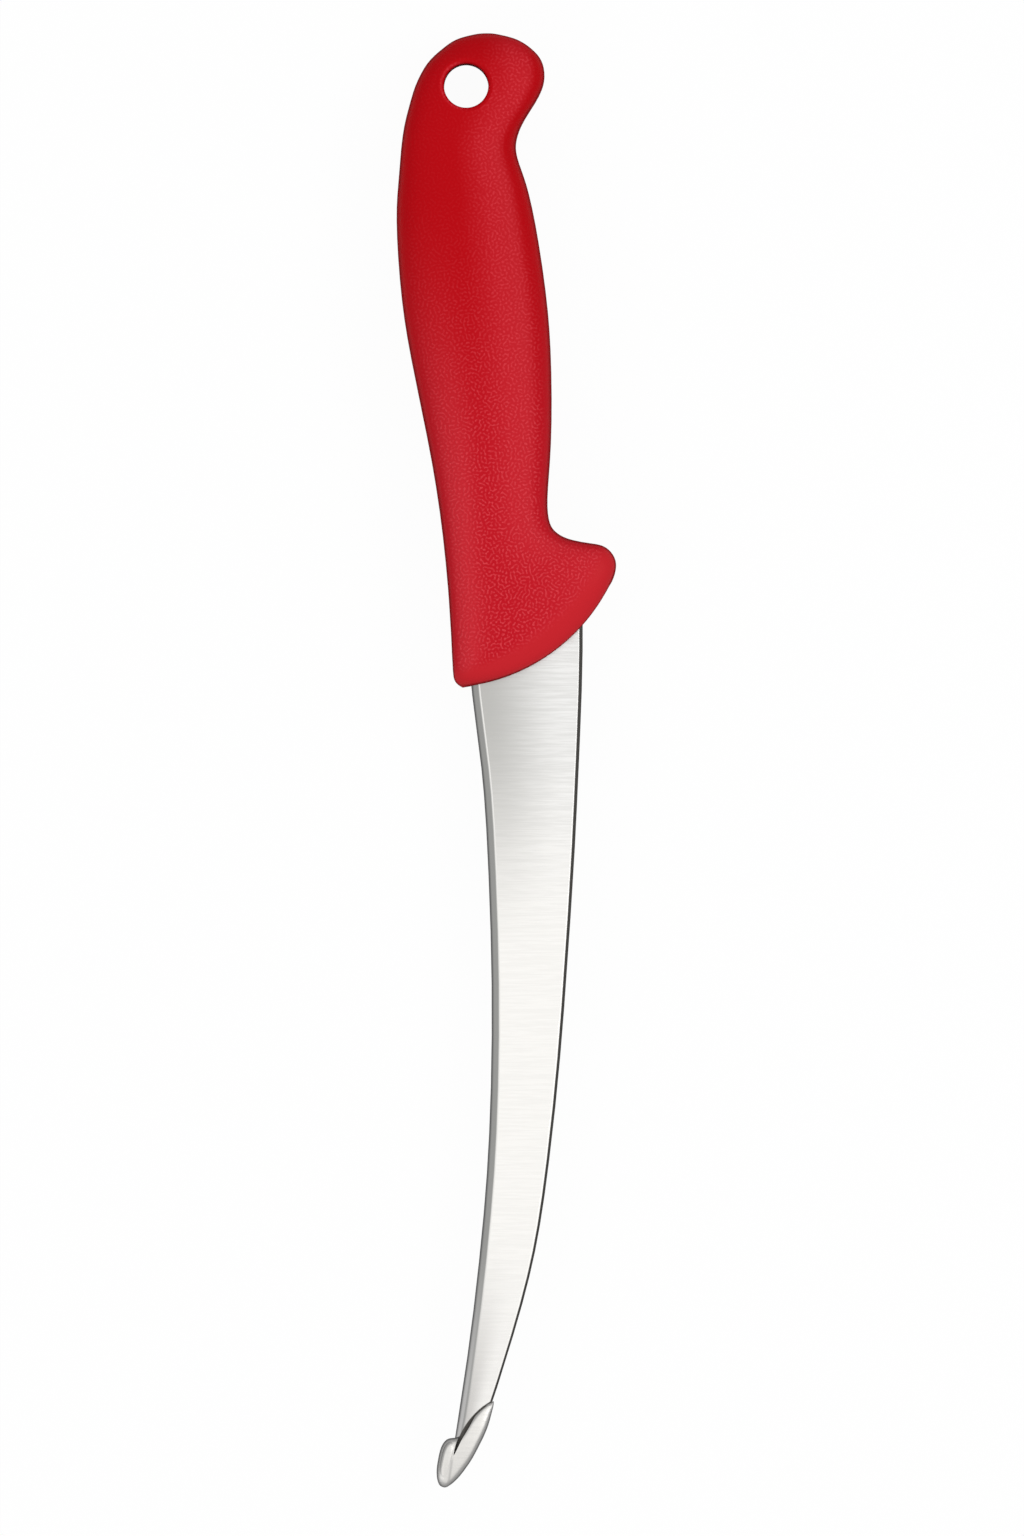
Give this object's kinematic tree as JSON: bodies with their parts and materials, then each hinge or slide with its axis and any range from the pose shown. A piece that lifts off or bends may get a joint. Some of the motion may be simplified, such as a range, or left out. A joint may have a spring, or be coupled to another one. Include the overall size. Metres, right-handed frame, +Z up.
{
  "type": "fillet knife",
  "caption": "Curved fillet knife: narrow brushed-steel blade with a blunt rounded tip guard, grained red handle with finger guard, hooked butt and hang hole.",
  "frame": {"origin": "on the plane that the knife lies on, under the middle of its bounding box", "axes": "+Y along the knife towards the butt of the handle, +X towards the cutting edge, +Z up, square to the flat of the blade"},
  "size_m": [0.0476, 0.3149, 0.0212],
  "materials": {
    "blade_steel": "ground across the blade, polished band along the spine",
    "guard_steel": "satin",
    "core_plastic": "as moulded, hidden",
    "grip_plastic": "fine leather grain with a smooth band along the front"
  },
  "bodies": {
    "root": {"blade": "blade_steel", "tip_guard": "guard_steel", "handle_core": "core_plastic", "handle_grip": "grip_plastic"}
  },
  "joints": []
}
